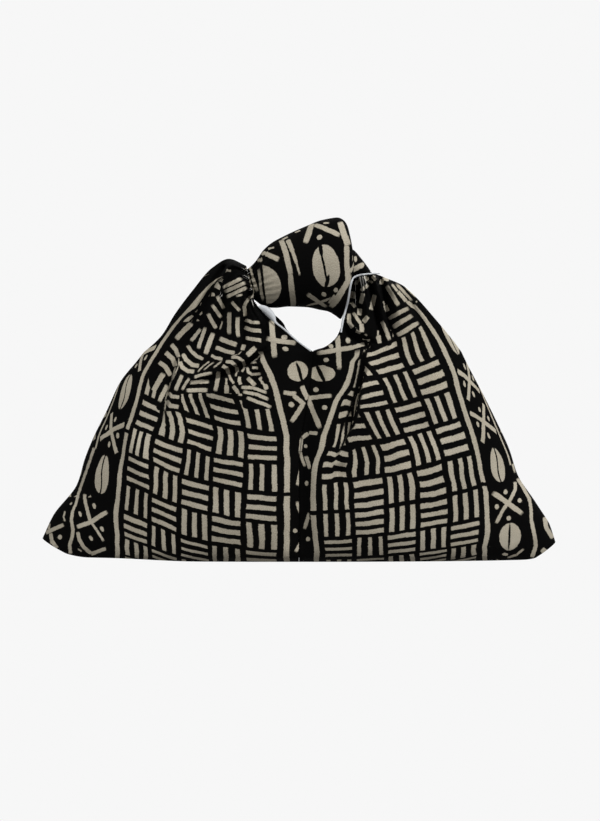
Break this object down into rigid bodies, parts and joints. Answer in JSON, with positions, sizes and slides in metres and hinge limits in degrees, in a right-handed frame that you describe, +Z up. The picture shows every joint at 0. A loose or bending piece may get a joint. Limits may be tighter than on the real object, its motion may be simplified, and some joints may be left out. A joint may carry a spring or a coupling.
{
  "type": "knot bag",
  "caption": "Soft cloth bag of two folded halves joined by a middle seam, with gathered necks that meet in a wide wrapped knot over a hand opening.",
  "frame": {"origin": "middle of the overall box, on the plane that the bag stands on", "axes": "+Z up, X across the bag with +X at the right in a front view, and the front faces -Y"},
  "size_m": [0.5149, 0.0914, 0.34],
  "materials": {
    "printed_cloth": "matt black canvas with a pale basket-weave print"
  },
  "bodies": {
    "root": {"left_half": "printed_cloth", "right_half": "printed_cloth", "knot_wrap": "printed_cloth", "knot_tip": "printed_cloth"}
  },
  "joints": []
}
